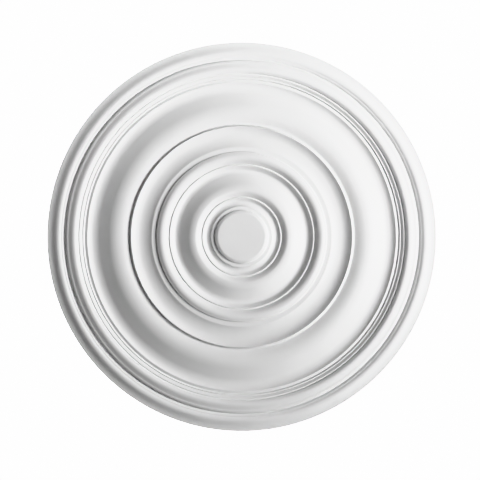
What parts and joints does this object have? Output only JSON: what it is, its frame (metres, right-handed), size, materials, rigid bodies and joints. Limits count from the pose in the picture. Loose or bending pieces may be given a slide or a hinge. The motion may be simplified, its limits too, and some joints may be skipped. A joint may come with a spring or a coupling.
{
  "type": "ceiling rose",
  "caption": "Round ceiling rose with plain concentric turned mouldings, a flat centre disc and a flat back that fixes to a ceiling.",
  "frame": {"origin": "centre of the flat back, on the ceiling plane", "axes": "+Z is the axis of the turned mouldings and points up into the ceiling, so the moulded face looks down; +X and +Y lie in the ceiling"},
  "size_m": [0.6, 0.6, 0.025],
  "materials": {
    "white_primer": "satin-matte white primer on a moulded high-density foam casting"
  },
  "bodies": {
    "root": {"ceiling_rose": "white_primer"}
  },
  "joints": []
}
